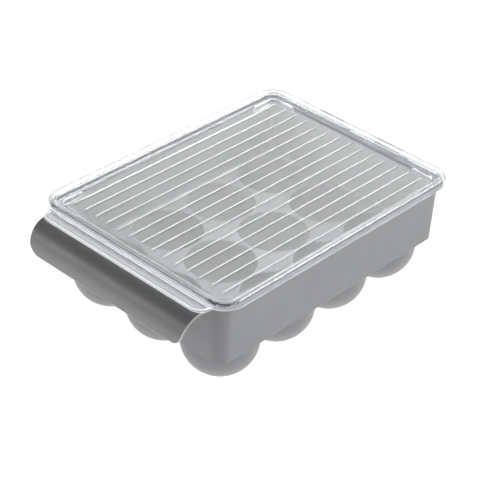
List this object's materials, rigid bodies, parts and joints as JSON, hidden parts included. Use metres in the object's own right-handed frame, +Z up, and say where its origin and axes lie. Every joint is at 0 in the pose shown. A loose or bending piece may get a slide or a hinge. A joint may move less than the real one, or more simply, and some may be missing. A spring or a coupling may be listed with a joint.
{
  "type": "egg keeper with flip lid",
  "caption": "Refrigerator egg keeper: a grey bin with round egg cups below and a curled pull handle, under a clear ribbed cover that flips up on snap hooks at the back.",
  "frame": {"origin": "under the middle of the overall box, in the plane of the cup feet that the keeper stands on", "axes": "+X across the width to the right as seen from the handle, -Y towards the pull handle at the front, +Y towards the hinges at the back, +Z up"},
  "size_m": [0.1794, 0.2684, 0.0861],
  "materials": {
    "grey_plastic": "satin, opaque, injection moulded",
    "clear_plastic": "clear and polished, injection moulded"
  },
  "bodies": {
    "bin": {"bin_wall": "grey_plastic", "cup_deck": "grey_plastic", "egg_cups": "grey_plastic", "pull_handle": "grey_plastic", "hinge_bracket_left": "grey_plastic", "hinge_bracket_right": "grey_plastic"},
    "cover": {"cover_panel": "clear_plastic", "cover_ribs": "clear_plastic", "corner_locators": "clear_plastic", "finger_lip": "clear_plastic", "snap_hook_left": "clear_plastic", "snap_hook_right": "clear_plastic"}
  },
  "joints": [
    {"name": "cover_hinge", "type": "hinge", "parent": "bin", "child": "cover", "pos_m": [0, 0.1306, 0.0745], "axis": [-1, 0, 0], "range_deg": [0, 110]}
  ]
}
